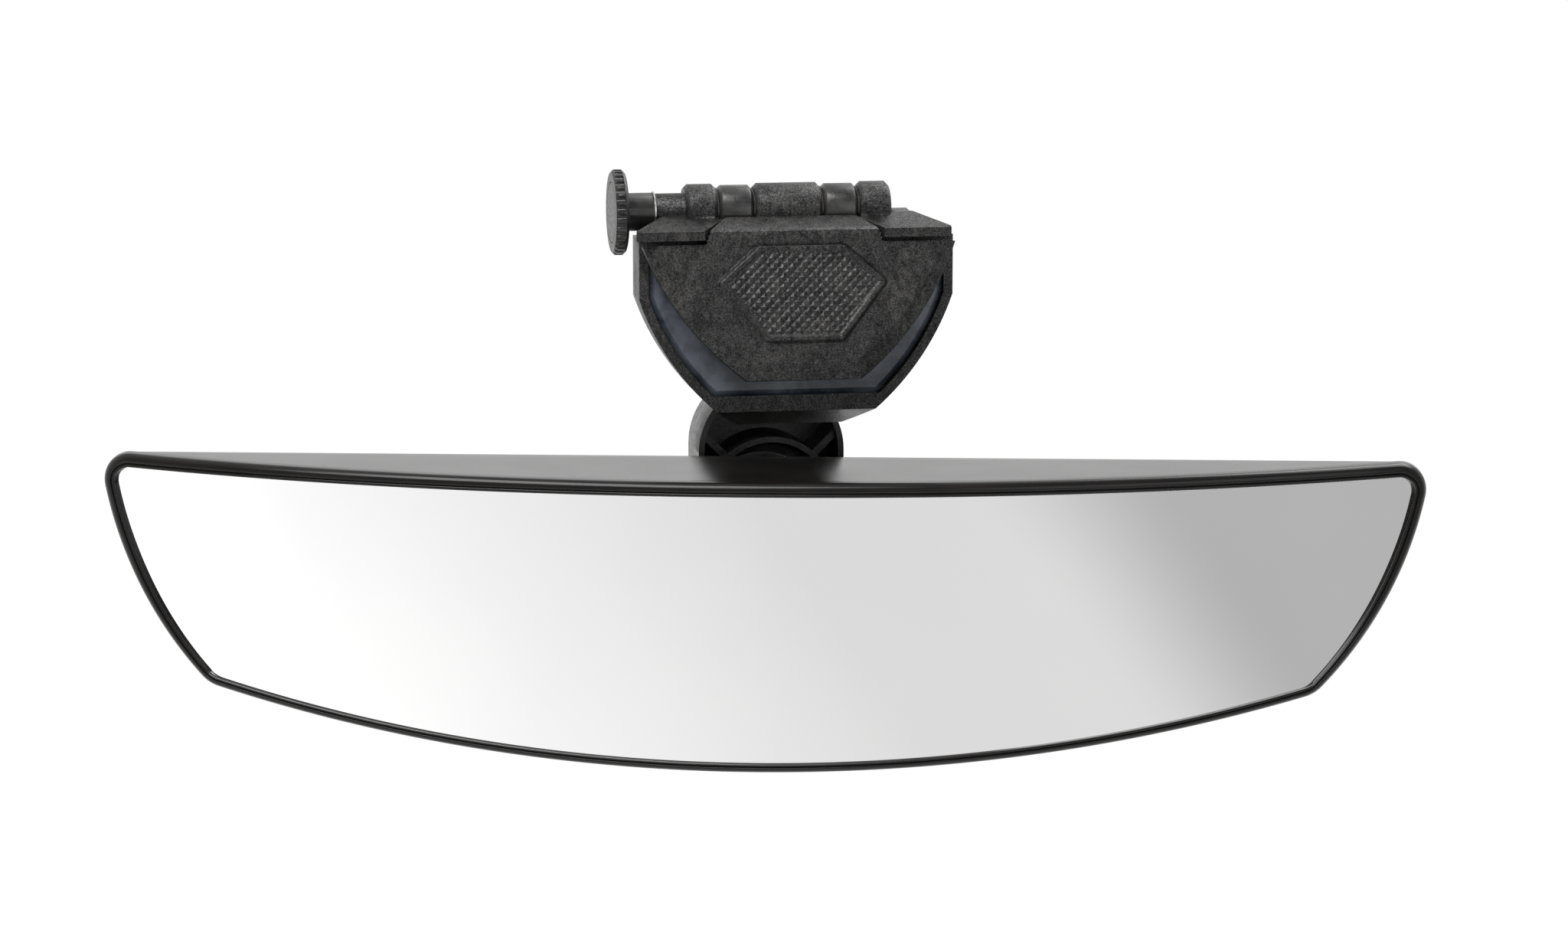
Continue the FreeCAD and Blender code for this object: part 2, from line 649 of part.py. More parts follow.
def back_shell():
    """Housing: flat back, flat top, open at the curved front."""
    insets = (SHELL_INSET, SHELL_INSET, SHELL_INSET)
    block = head_prism(insets, FRONT_Y - 5, HEAD_BACK, (TOP_CORNER_R - 0.8, FOOT_CORNER_R - 0.8))
    rim = [e for e in block.Edges if e.BoundBox.YMin > HEAD_BACK - 1e-6]
    block = block.makeFillet(SHELL_EDGE_R, rim)
    walls = tuple(value + SHELL_WALL for value in insets)
    cavity = head_prism(walls, FRONT_Y - 6, HEAD_BACK - SHELL_WALL, (5.0, 7.0))
    shell = block.cut(cavity).common(curved(BEZEL_DEPTH))
    for x, z in SCREW_POSTS:
        shell = shell.cut(bar(POST_SCREW_R, HEAD_BACK - 4, HEAD_BACK + 1, x, z))
    shell = shell.cut(bar(SHANK_R + 0.5, HEAD_BACK - 4, HEAD_BACK + 1))
    for x, z in plate_screw_places():
        shell = shell.cut(bar(PLATE_SCREW_R, HEAD_BACK - 4, HEAD_BACK + 1, x, z))
    return at_head(shell)


def pan_screw(x, z, head_y, length, radius):
    """A pan-head screw, its head towards the back."""
    head = bar(POST_HEAD_R, head_y, head_y + POST_HEAD, x, z)
    crown = [e for e in head.Edges if e.BoundBox.YMin > head_y + POST_HEAD - 1e-6]
    head = head.makeFillet(0.8, crown)
    slot_y = head_y + POST_HEAD - 0.9
    bars = ((3.0, 0.8), (0.8, 3.0))
    cross = [Part.makeBox(w, 1.2, h, V(x - w / 2, slot_y, z - h / 2)) for w, h in bars]
    return head.fuse(bar(radius, head_y - length, head_y, x, z)).cut(cross[0].fuse(cross[1]))


def shell_screws():
    """Screws from the housing's back into the carrier's posts."""
    return at_head(Part.makeCompound([pan_screw(x, z, HEAD_BACK, 9.0, POST_SCREW_R) for x, z in SCREW_POSTS]))


def plate_screw_places():
    """The four screws round the stud."""
    angles = [math.radians(45 + 90 * i) for i in range(4)]
    return [(PLATE_SCREW_RADIUS * math.cos(a), PLATE_SCREW_RADIUS * math.sin(a)) for a in angles]


def mount_flange():
    """Low dome on the housing's back that the stud passes through."""
    profile = [
        (0, HEAD_BACK),
        (FLANGE_R, HEAD_BACK),
        (FLANGE_R, FLANGE_EDGE),
        (FLANGE_TOP_R, FLANGE_TOP),
        (0, FLANGE_TOP),
    ]
    dome = turned(profile).cut(bar(SHANK_R + RUNNING, HEAD_BACK - 1, FLANGE_TOP + 1))
    for x, z in plate_screw_places():
        dome = dome.cut(bar(PLATE_SCREW_R, HEAD_BACK - 1, FLANGE_EDGE + 6, x, z))
        dome = dome.cut(bar(POST_HEAD_R + 0.2, FLANGE_EDGE, FLANGE_EDGE + 6, x, z))
    return at_head(dome)


def plate_screws():
    """Screws through the dome and the housing into the stud plate."""
    screws = [pan_screw(x, z, FLANGE_EDGE, 5.5, PLATE_SCREW_R) for x, z in plate_screw_places()]
    return at_head(Part.makeCompound(screws))


def stud_plate():
    """Steel plate inside the housing that spreads the stud's load."""
    back = HEAD_BACK - SHELL_WALL
    half_x, half_z = STUD_PLATE_HALF
    corner = V(-half_x, back - STUD_PLATE_THICK, STUD_PLATE_LOW)
    plate = Part.makeBox(2 * half_x, STUD_PLATE_THICK, 2 * half_z, corner)
    plate = plate.cut(bar(SHANK_R + RUNNING, back - 5, back + 1))
    for x, z in plate_screw_places():
        plate = plate.cut(bar(PLATE_SCREW_R, back - 5, back + 1, x, z))
    return at_head(plate)


def finish(name, shape):
    """Move a piece to the part's own origin and write it."""
    placed = shape.copy() if name in JAW_PIECES else on_stack(shape)
    placed.translate(GRIP_CENTRE * -1)
    solids = placed.Solids
    if len(solids) > 1:
        placed = Part.makeCompound(solids)
    else:
        placed = solids[0]
    print(name, len(solids), placed.isValid(), round(placed.Volume, 1))
    placed.exportStep("parts/" + name + ".step")


JAW_PIECES = ("rear_jaw", "rear_pad", "front_jaw", "front_pad")

PIECES = [
    rear_jaw, rear_pad, friction_washers, lock_nut,
    lock_knob, knob_cap, hinge_bolt, thrust_washer,
    front_jaw, front_pad,
    arm, pressure_pad, tension_screw, socket_ring,
    ball_liner, ball_stud, stud_nut,
    back_shell, glass_carrier, mirror_glass, bezel, shell_screws,
    mount_flange, plate_screws, stud_plate,
]

os.makedirs("parts", exist_ok=True)
for make in PIECES:
    finish(make.__name__, make())
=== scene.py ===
"""Looks of the clamp-on panoramic mirror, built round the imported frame. Metres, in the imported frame."""
import json
import math

import bmesh
import bpy
from mathutils import Matrix, Vector


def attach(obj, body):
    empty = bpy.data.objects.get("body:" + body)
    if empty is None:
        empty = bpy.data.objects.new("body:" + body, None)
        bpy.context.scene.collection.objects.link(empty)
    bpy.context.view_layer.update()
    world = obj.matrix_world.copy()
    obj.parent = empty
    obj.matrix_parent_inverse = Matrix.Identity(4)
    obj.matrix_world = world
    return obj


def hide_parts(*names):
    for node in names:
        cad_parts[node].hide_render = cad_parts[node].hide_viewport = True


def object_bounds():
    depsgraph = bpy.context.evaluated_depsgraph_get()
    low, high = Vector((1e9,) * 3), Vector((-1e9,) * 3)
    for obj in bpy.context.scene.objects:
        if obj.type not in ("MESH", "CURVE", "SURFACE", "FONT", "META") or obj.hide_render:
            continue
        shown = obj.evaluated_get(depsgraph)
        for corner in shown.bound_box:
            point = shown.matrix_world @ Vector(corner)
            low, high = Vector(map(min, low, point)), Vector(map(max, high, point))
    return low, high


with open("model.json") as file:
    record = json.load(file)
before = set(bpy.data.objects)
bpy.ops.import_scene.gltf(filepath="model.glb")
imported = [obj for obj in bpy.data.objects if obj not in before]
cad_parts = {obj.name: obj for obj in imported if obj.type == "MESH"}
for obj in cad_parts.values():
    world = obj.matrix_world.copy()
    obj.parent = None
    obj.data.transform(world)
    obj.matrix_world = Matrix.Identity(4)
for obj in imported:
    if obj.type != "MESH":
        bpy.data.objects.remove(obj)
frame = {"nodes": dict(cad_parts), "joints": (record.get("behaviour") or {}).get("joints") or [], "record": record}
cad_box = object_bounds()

MM = 0.001
JOINTS = {joint["name"]: joint for joint in frame["joints"]}
HINGE = Vector(JOINTS["jaw_hinge"]["pos_m"])
BALL = Vector(JOINTS["ball_pan"]["pos_m"])
HEAD_X = Vector(JOINTS["ball_tilt"]["axis"])
HEAD_TURN = math.atan2(HEAD_X.y, HEAD_X.x)
TO_HEAD = Matrix.Translation(BALL) @ Matrix.Rotation(HEAD_TURN, 4, "Z")

# Mirror head, in millimetres from the ball centre: flat top, bowed sides and bottom, curved front
HEAD_TOP = 16.0
HEAD_BACK = -22.0
SIDE_ARC = ((182.2, 16.0), (174.1, -13.8), (150.7, -46.0))
FOOT_ARC = ((150.7, -46.0), (0.0, -62.3), (-150.7, -46.0))
CORNER_R = 8.0
FOOT_CORNER_R = 10.0
HEAD_HALF = 178.0
END_DEPTH = 9.0
FRONT_BOW = 41.0
FRONT_R = (HEAD_HALF ** 2 + FRONT_BOW ** 2) / (2 * FRONT_BOW)
FRONT_AXIS_Y = HEAD_BACK - END_DEPTH - FRONT_BOW + FRONT_R
BEZEL_WIDTHS = (3.8, 3.4, 2.5)
LIP_DEPTH = 1.4

# Camera
CAMERA_AZIMUTH = math.radians(-10.0)
CAMERA_ELEVATION = math.radians(10.0)
CAMERA_ROLL = math.radians(0.06)
CAMERA_DISTANCE = 1.172
CAMERA_TARGET = Vector((-0.0048, -0.0083, -0.0394))

# Front jaw's plate, in millimetres from the hinge: it hangs from PLATE_TOP and leans forward at the foot
PLATE_TOP = (-13.5, -7.6)
PLATE_LEAN = math.radians(-13.0)
PLATE_PLACE = Vector((0.0, HINGE.y + PLATE_TOP[0] * MM, HINGE.z + PLATE_TOP[1] * MM))
TO_PLATE = Matrix.Translation(PLATE_PLACE) @ Matrix.Rotation(PLATE_LEAN, 4, "X")
GRIP_CORNERS = ((11.6, -1.3), (22.2, -10.6), (10.2, -25.6), (-10.2, -25.6), (-22.2, -10.6), (-11.6, -1.3))


# ---------------------------------------------------------------- shader helpers

class Shader:
    """A small wrapper that makes node trees short to write."""

    def __init__(self, name):
        self.material = bpy.data.materials.new(name)
        self.material.use_nodes = True
        self.tree = self.material.node_tree
        self.surface = self.tree.nodes["Principled BSDF"]
        coordinates = self.tree.nodes.new("ShaderNodeTexCoord")
        self.place = coordinates.outputs["Object"]

    def link(self, output, socket):
        self.tree.links.new(output, socket)

    def stretched(self, scale):
        """Object coordinates scaled unevenly."""
        mapping = self.tree.nodes.new("ShaderNodeMapping")
        mapping.inputs["Scale"].default_value = scale
        self.link(self.place, mapping.inputs["Vector"])
        return mapping.outputs["Vector"]

    def noise(self, size_mm, detail=3.0, rough=0.5, place=None, distortion=0.0):
        """Noise with features of about this size."""
        node = self.tree.nodes.new("ShaderNodeTexNoise")
        node.inputs["Scale"].default_value = 1.0 / (size_mm * MM)
        node.inputs["Detail"].default_value = detail
        node.inputs["Roughness"].default_value = rough
        node.inputs["Distortion"].default_value = distortion
        self.link(place or self.place, node.inputs["Vector"])
        return node.outputs["Fac"]

    def ramp(self, value, low, high, start=0.3, end=0.7):
        """A value mapped smoothly between two numbers."""
        node = self.tree.nodes.new("ShaderNodeMapRange")
        node.interpolation_type = "SMOOTHSTEP"
        for name, number in (("From Min", start), ("From Max", end), ("To Min", low), ("To Max", high)):
            node.inputs[name].default_value = number
        self.link(value, node.inputs["Value"])
        return node.outputs["Result"]

    def mixed(self, value, first, second):
        """Two colours mixed by a value."""
        node = self.tree.nodes.new("ShaderNodeMix")
        node.data_type = "RGBA"
        node.inputs["A"].default_value = (*first, 1.0)
        node.inputs["B"].default_value = (*second, 1.0)
        self.link(value, node.inputs["Factor"])
        return node.outputs["Result"]

    def blended(self, value, first, second):
        """Two colour outputs mixed by a value; the second is a plain colour."""
        node = self.tree.nodes.new("ShaderNodeMix")
        node.data_type = "RGBA"
        self.link(first, node.inputs["A"])
        node.inputs["B"].default_value = (*second, 1.0)
        self.link(value, node.inputs["Factor"])
        return node.outputs["Result"]

    def maths(self, operation, first, second):
        """A two-input maths node."""
        node = self.tree.nodes.new("ShaderNodeMath")
        node.operation = operation
        for socket, value in zip(node.inputs, (first, second)):
            if isinstance(value, (int, float)):
                socket.default_value = value
            else:
                self.link(value, socket)
        return node.outputs["Value"]

    def bump(self, height, depth_mm, strength=1.0, under=None):
        """A bump of this depth, laid over another if given."""
        node = self.tree.nodes.new("ShaderNodeBump")
        node.inputs["Strength"].default_value = strength
        node.inputs["Distance"].default_value = depth_mm * MM
        self.link(height, node.inputs["Height"])
        if under is not None:
            self.link(under, node.inputs["Normal"])
        return node.outputs["Normal"]

    def done(self, color, roughness, normal=None, **plain):
        """Connects the surface; plain values go straight on its own sockets."""
        self.link(color, self.surface.inputs["Base Color"])
        self.link(roughness, self.surface.inputs["Roughness"])
        if normal is not None:
            self.link(normal, self.surface.inputs["Normal"])
        for name, value in plain.items():
            self.surface.inputs[name.replace("_", " ")].default_value = value
        return self.material


def textured_nylon():
    """Glass-filled black nylon: a rough, streaky skin with paler flow marks; its bright specks are painted glints.
    """
    s = Shader("textured_nylon")
    blotch = s.noise(16.0, 5.0, 0.6, distortion=0.9)
    streak = s.noise(2.4, 7.0, 0.72, place=s.stretched((0.8, 0.8, 0.45)), distortion=1.4)
    painted_glint = s.noise(0.42, 3.0, 0.75)
    grain = s.noise(0.42, 5.0, 0.75)
    pale = s.maths("MULTIPLY", s.ramp(blotch, 0.1, 1.0, 0.42, 0.62), s.ramp(streak, 0.15, 1.0, 0.4, 0.64))
    color = s.mixed(pale, (0.0035, 0.0033, 0.0032), (0.021, 0.0195, 0.0185))
    # Bright specks blended into the colour: painted glints of light on the surface.
    color = s.blended(s.ramp(painted_glint, 0.0, 0.6, 0.62, 0.76), color, (0.11, 0.107, 0.103))
    roughness = s.ramp(s.maths("MULTIPLY", streak, blotch), 0.25, 0.44, 0.12, 0.36)
    sheen = s.maths("MULTIPLY", s.ramp(grain, 0.1, 0.8, 0.38, 0.62), s.ramp(streak, 0.55, 1.0, 0.36, 0.6))
    s.link(sheen, s.surface.inputs["Specular IOR Level"])
    fine = s.bump(grain, 0.1, 1.0)
    normal = s.bump(streak, 0.2, 0.6, fine)
    return s.done(color, roughness, normal)


def moulded_black():
    """Smooth moulded black plastic with a fine grain."""
    s = Shader("moulded_black")
    cloud = s.noise(6.0, 5.0, 0.65, distortion=0.6)
    color = s.mixed(s.ramp(cloud, 0.0, 1.0), (0.0055, 0.0053, 0.0053), (0.021, 0.0195, 0.0185))
    roughness = s.ramp(s.noise(2.2, 4.0, 0.6), 0.24, 0.4)
    normal = s.bump(s.noise(0.5, 4.0, 0.7), 0.05, 0.8)
    return s.done(color, roughness, normal)


def knob_black():
    """Darker, smoother moulding of the hand knob."""
    s = Shader("knob_black")
    cloud = s.noise(3.0, 5.0, 0.65)
    color = s.mixed(s.ramp(cloud, 0.0, 1.0), (0.004, 0.0038, 0.0038), (0.012, 0.0112, 0.0108))
    roughness = s.ramp(s.noise(1.2, 4.0, 0.6), 0.28, 0.42)
    normal = s.bump(s.noise(0.5, 4.0, 0.7), 0.04, 0.8)
    return s.done(color, roughness, normal, Specular_IOR_Level=0.4)


def grip_pad():
    """Smooth blue-black pad material; its paler blue-grey cloud patches are partly the pad's own tone and partly
    painted soft reflections.
    """
    s = Shader("grip_pad")
    cloud = s.noise(11.0, 4.0, 0.55, distortion=0.6)
    # Colour: the pale end of this cloud is in part painted soft reflection over the pad's own tone.
    color = s.mixed(s.ramp(cloud, 0.0, 1.0), (0.016, 0.022, 0.032), (0.085, 0.098, 0.118))
    roughness = s.ramp(s.noise(3.0, 3.0), 0.22, 0.36)
    normal = s.bump(s.noise(1.8, 4.0), 0.04, 0.6)
    return s.done(color, roughness, normal)


def satin_black(name, low, high, level):
    """Satin black of the housing and its bezel."""
    s = Shader(name)
    cloud = s.noise(14.0, 3.0)
    color = s.mixed(s.ramp(cloud, 0.0, 1.0), (0.0052, 0.0046, 0.0044), (0.0075, 0.0068, 0.0064))
    roughness = s.ramp(s.noise(22.0, 3.0), low, high)
    return s.done(color, roughness, Specular_IOR_Level=level)


def silvered_glass():
    """The mirror: a clean neutral silver with the faintest haze."""
    s = Shader("silvered_glass")
    haze = s.noise(60.0, 2.0)
    color = s.mixed(s.ramp(haze, 0.0, 1.0), (0.93, 0.93, 0.935), (0.95, 0.95, 0.95))
    roughness = s.ramp(s.noise(25.0, 3.0), 0.0, 0.012)
    return s.done(color, roughness, Metallic=1.0)


def turned_steel(name, tint, low, high):
    """Zinc-bright or blackened steel with turning marks."""
    s = Shader(name)
    marks = s.noise(0.25, 2.0, place=s.stretched((1.0, 0.15, 0.15)))
    dark = tuple(value * 0.72 for value in tint)
    color = s.mixed(s.ramp(s.noise(1.5, 3.0), 0.0, 1.0), dark, tint)
    normal = s.bump(marks, 0.01, 0.5)
    return s.done(color, s.ramp(marks, low, high), normal, Metallic=1.0)


def pale_nylon():
    """Natural nylon of the ball's liner."""
    s = Shader("pale_nylon")
    color = s.mixed(s.ramp(s.noise(3.0, 3.0), 0.0, 1.0), (0.62, 0.59, 0.52), (0.74, 0.71, 0.64))
    return s.done(color, s.ramp(s.noise(1.2, 3.0), 0.35, 0.5), s.bump(s.noise(0.4, 2.0), 0.02, 0.5))


MATERIALS = {
    "textured_nylon": textured_nylon(),
    "moulded_black": moulded_black(),
    "knob_black": knob_black(),
    "grip_rubber": grip_pad(),
    "satin_shell": satin_black("satin_shell", 0.2, 0.23, 0.62),
    "satin_bezel": satin_black("satin_bezel", 0.2, 0.23, 0.2),
    "mirror_glass": silvered_glass(),
    "steel": turned_steel("steel", (0.62, 0.61, 0.6), 0.22, 0.34),
    "dark_steel": turned_steel("dark_steel", (0.11, 0.11, 0.115), 0.3, 0.42),
    "liner_nylon": pale_nylon(),
}


# ---------------------------------------------------------------- mesh helpers

def finish_piece(name, mesh, body, slot, *nodes):
    """Links a new piece, rides it on its body and gives it its material."""
    piece = bpy.data.objects.new(name, mesh)
    bpy.context.scene.collection.objects.link(piece)
    piece.data.materials.clear()
    piece.data.materials.append(MATERIALS[slot])
    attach(piece, body)
    if nodes:
        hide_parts(*nodes)
    return piece


def mesh_from(name, points, faces, smooth=True):
    """A mesh from points and faces, normals outward."""
    mesh = bpy.data.meshes.new(name)
    mesh.from_pydata(points, [], faces)
    work = bmesh.new()
    work.from_mesh(mesh)
    bmesh.ops.remove_doubles(work, verts=work.verts, dist=1e-7)
    bmesh.ops.recalc_face_normals(work, faces=work.faces)
    work.to_mesh(mesh)
    work.free()
    mesh.polygons.foreach_set("use_smooth", [smooth] * len(mesh.polygons))
    return mesh


def bridge(rings, closed_rings=True):
    """Quads between rings that have the same number of points."""
    faces = []
    count = len(rings[0])
    for i in range(len(rings) - 1):
        for j in range(count if closed_rings else count - 1):
            k = (j + 1) % count
            faces.append((i * count + j, i * count + k, (i + 1) * count + k, (i + 1) * count + j))
    return [point for ring in rings for point in ring], faces


# ---------------------------------------------------------------- mirror head

def circle_through(a, b, c):
    """Centre and radius of the circle through three points in a plane."""
    (ax, az), (bx, bz), (cx, cz) = a, b, c
    d = 2 * (ax * (bz - cz) + bx * (cz - az) + cx * (az - bz))
    a2, b2, c2 = ax * ax + az * az, bx * bx + bz * bz, cx * cx + cz * cz
    x = (a2 * (bz - cz) + b2 * (cz - az) + c2 * (az - bz)) / d
    z = (a2 * (cx - bx) + b2 * (ax - cx) + c2 * (bx - ax)) / d
    return (x, z), math.hypot(ax - x, az - z)


def circles_meet(first, r1, second, r2):
    """The right-hand, upper meeting point of two circles."""
    dx, dz = second[0] - first[0], second[1] - first[1]
    d = math.hypot(dx, dz)
    along = (r1 * r1 - r2 * r2 + d * d) / (2 * d)
    aside = math.sqrt(r1 * r1 - along * along)
    mid = (first[0] + dx * along / d, first[1] + dz * along / d)
    options = [(mid[0] + s * aside * dz / d, mid[1] - s * aside * dx / d) for s in (1, -1)]
    return max(options, key=lambda p: p[0])


def head_outline():
    """The head's outline as (x, z, outward x, outward z), anticlockwise from the middle of the top."""
    side, side_r = circle_through(*SIDE_ARC)
    foot, foot_r = circle_through(*FOOT_ARC)
    corner_z = HEAD_TOP - CORNER_R
    corner = (side[0] + math.sqrt((side_r - CORNER_R) ** 2 - (corner_z - side[1]) ** 2), corner_z)
    low = circles_meet(side, side_r - FOOT_CORNER_R, foot, foot_r - FOOT_CORNER_R)
    upper_angle = math.atan2(corner[1] - side[1], corner[0] - side[0])
    lower_angle = math.atan2(low[1] - side[1], low[0] - side[0])
    foot_angle = math.atan2(low[1] - foot[1], low[0] - foot[0])
    half = []
    top_steps = 90
    for i in range(top_steps + 1):
        half.append((corner[0] * i / top_steps, HEAD_TOP, 0.0, 1.0))
    arcs = [
        (corner, CORNER_R, math.pi / 2, upper_angle, 14),
        (side, side_r, upper_angle, lower_angle, 30),
        (low, FOOT_CORNER_R, lower_angle, foot_angle, 12),
        (foot, foot_r, foot_angle, -math.pi / 2, 80),
    ]
    for centre, radius, start, end, steps in arcs:
        for i in range(1, steps + 1):
            a = start + (end - start) * i / steps
            nx, nz = math.cos(a), math.sin(a)
            half.append((centre[0] + radius * nx, centre[1] + radius * nz, nx, nz))
    return half + [(-x, z, -nx, nz) for x, z, nx, nz in reversed(half[1:-1])]


def front_y(x, depth):
    """The head's curved front, set back by a depth."""
    return FRONT_AXIS_Y - math.sqrt((FRONT_R - depth) ** 2 - x * x)


def head_point(x, y, z):
    """A point given in millimetres from the ball centre, in the turned head."""
    return TO_HEAD @ Vector((x * MM, y * MM, z * MM))


OUTLINE = head_outline()


def bezel_width(nz):
    """The bezel's face is widest along the top and narrowest along the bottom."""
    top, side, bottom = BEZEL_WIDTHS
    blend = min(1.0, max(0.0, (abs(nz) - 0.35) / 0.5))
    return side + ((top if nz > 0 else bottom) - side) * blend * blend * (3 - 2 * blend)


def bezel_profile():
    """Section of the bezel as (share of its width, depth in mm) from the outer back edge to the glass."""
    section = [(0.24, 5.0), (0.03, 5.0), (0.0, 4.8)]
    section += [(0.0, depth) for depth in (4.2, 3.4, 2.7)]
    lip_r, lip_share = 2.1, 0.56
    for i in range(1, 13):
        a = math.pi / 2 * i / 12
        section.append((lip_share * (1 - math.cos(a)), lip_r - lip_r * math.sin(a)))
    groove = [(0.60, 0.02), (0.63, 0.12), (0.65, 0.34), (0.67, 0.5), (0.69, 0.56), (0.71, 0.5), (0.73, 0.36)]
    inner_lip = [(0.76, 0.22), (0.8, 0.14), (0.85, 0.12), (0.9, 0.16)]
    inner_lip += [(0.945, 0.28), (0.975, 0.46), (0.99, 0.7)]
    return section + groove + inner_lip + [(1.0, 1.0), (1.0, LIP_DEPTH), (1.0, LIP_DEPTH + 0.5)]


def bezel():
    """The frame round the glass: rounded outer lip, groove, thin inner lip."""
    rings = []
    for share, depth in bezel_profile():
        ring = []
        for x, z, nx, nz in OUTLINE:
            inset = share * bezel_width(nz)
            px, pz = x - nx * inset, z - nz * inset
            ring.append(head_point(px, front_y(px, depth), pz))
        rings.append(ring)
    mesh = mesh_from("bezel_frame", *bridge(rings))
    return finish_piece("bezel_frame", mesh, "mirror_head", "satin_bezel", "bezel")


def glass():
    """The curved mirror: a fine grid whose normals follow the front's true curve."""
    margin = 0.8
    ring = []
    for x, z, nx, nz in OUTLINE:
        inset = bezel_width(nz) - margin
        ring.append((x - nx * inset, z - nz * inset))
    half = len(ring) // 2 + 1
    right = ring[:half]
    widest = max(range(len(right)), key=lambda i: right[i][0])
    upper, lower = right[:widest + 1], right[widest:][::-1]
    reach = right[widest][0] - 0.02
    columns, rows = 300, 14
    rings = []
    for i in range(columns + 1):
        x = -reach * math.cos(math.pi * i / columns)
        top = height_on(upper, abs(x))
        bottom = height_on(lower, abs(x))
        heights = [bottom + (top - bottom) * j / rows for j in range(rows + 1)]
        rings.append([head_point(x, front_y(x, LIP_DEPTH), z) for z in heights])
    mesh = mesh_from("mirror_face", *bridge(rings, False))
    solid = finish_piece("mirror_face", mesh, "mirror_head", "mirror_glass", "mirror_glass")
    thick = solid.modifiers.new("thickness", "SOLIDIFY")
    thick.thickness = 2.0 * MM
    thick.offset = -1.0
    split = solid.modifiers.new("crisp_edges", "EDGE_SPLIT")
    split.split_angle = math.radians(30)
    return solid


def height_on(chain, x):
    """The height of a chain of (x, z) points, rising in x, at x."""
    for (x0, z0), (x1, z1) in zip(chain, chain[1:]):
        if x <= x1:
            return z0 + (z1 - z0) * (x - x0) / max(x1 - x0, 1e-9)
    return chain[-1][1]


def housing():
    """The shell behind the bezel: straight walls back to a rounded flat rear."""
    inset, edge_r, wall_steps, edge_steps = 0.8, 2.4, 10, 8
    rings = []
    for step in range(wall_steps + 1):
        share = step / wall_steps
        ring = []
        for x, z, nx, nz in OUTLINE:
            px, pz = x - nx * inset, z - nz * inset
            start = front_y(px, 4.4)
            ring.append(head_point(px, start + (HEAD_BACK - edge_r - start) * share, pz))
        rings.append(ring)
    for step in range(1, edge_steps + 1):
        a = math.pi / 2 * step / edge_steps
        draw = inset + edge_r * (1 - math.cos(a))
        y = HEAD_BACK - edge_r + edge_r * math.sin(a)
        rings.append([head_point(x - nx * draw, y, z - nz * draw) for x, z, nx, nz in OUTLINE])
    points, faces = bridge(rings)
    last = len(points) - len(OUTLINE)
    faces.append(tuple(range(last, len(points))))
    mesh = mesh_from("housing_shell", points, faces)
    mesh.polygons[len(faces) - 1].use_smooth = False
    return finish_piece("housing_shell", mesh, "mirror_head", "satin_shell", "back_shell")


# ---------------------------------------------------------------- carried-over CAD nodes

def dress(node, slot, bevel_mm):
    """Gives a CAD node its material, welded smooth shading and softly broken edges."""
    piece = frame["nodes"][node]
    piece.data.materials.clear()
    piece.data.materials.append(MATERIALS[slot])
    weld = piece.modifiers.new("weld", "WELD")
    weld.merge_threshold = 2e-6
    if bevel_mm:
        bevel = piece.modifiers.new("edges", "BEVEL")
        bevel.width = bevel_mm * MM
        bevel.segments = 2
        bevel.limit_method = "ANGLE"
        bevel.angle_limit = math.radians(28)
        bevel.harden_normals = True
        bevel.use_clamp_overlap = True


OWN_LOOKS = {"lock_knob": "knob_black", "knob_cap": "knob_black"}
EDGE_BREAKS = {
    "rear_jaw": 0.35,
    "front_jaw": 0.35,
    "rear_pad": 0.25,
    "front_pad": 0.2,
    "arm": 0.4,
    "lock_knob": 0.15,
}
for subpart in frame["record"]["subparts"]:
    slot = OWN_LOOKS.get(subpart["node"], subpart["material_slot"])
    dress(subpart["node"], slot, EDGE_BREAKS.get(subpart["node"], 0.0))

# ---------------------------------------------------------------- grip panel

def inside_depth(x, z, corners, rounding):
    """How far a point is inside a polygon with rounded corners; negative outside."""
    nearest = 1e9
    inside = False
    for (x0, z0), (x1, z1) in zip(corners, corners[1:] + corners[:1]):
        dx, dz = x1 - x0, z1 - z0
        t = max(0.0, min(1.0, ((x - x0) * dx + (z - z0) * dz) / (dx * dx + dz * dz)))
        nearest = min(nearest, math.hypot(x - x0 - t * dx, z - z0 - t * dz))
        if (z0 > z) != (z1 > z) and x < x0 + (z - z0) * dx / dz:
            inside = not inside
    return (nearest if inside else -nearest) + rounding


def smooth(value):
    """Smooth step from 0 to 1."""
    value = max(0.0, min(1.0, value))
    return value * value * (3 - 2 * value)


def grip_height(x, z):
    """Height of the grip panel over the plate: a soft rim round a field of small pyramids."""
    rounding, margin = 2.2, 1.5
    middle = (0.0, -13.4)
    shrink = 1.0 - (rounding - margin) / 13.0
    corners = tuple(
        (middle[0] + (cx - middle[0]) * shrink, middle[1] + (cz - middle[1]) * shrink)
        for cx, cz in GRIP_CORNERS
    )
    depth = inside_depth(x, z, corners, rounding)
    rim_top, field, rim_in = 1.15, 0.68, 3.0
    rim = rim_top * smooth(depth / 1.3)
    dip = (rim_top - field) * smooth((depth - 1.9) / (rim_in - 1.9))
    pitch, peak = 1.86, 0.42
    u, v = (x + z) / math.sqrt(2), (x - z) / math.sqrt(2)
    u = abs(u / pitch - math.floor(u / pitch) - 0.5) * 2
    v = abs(v / pitch - math.floor(v / pitch) - 0.5) * 2
    pyramid = min(0.86, 1.0 - max(u, v)) * peak * smooth((depth - 2.5) / 0.6)
    return rim - dip + pyramid - 0.06


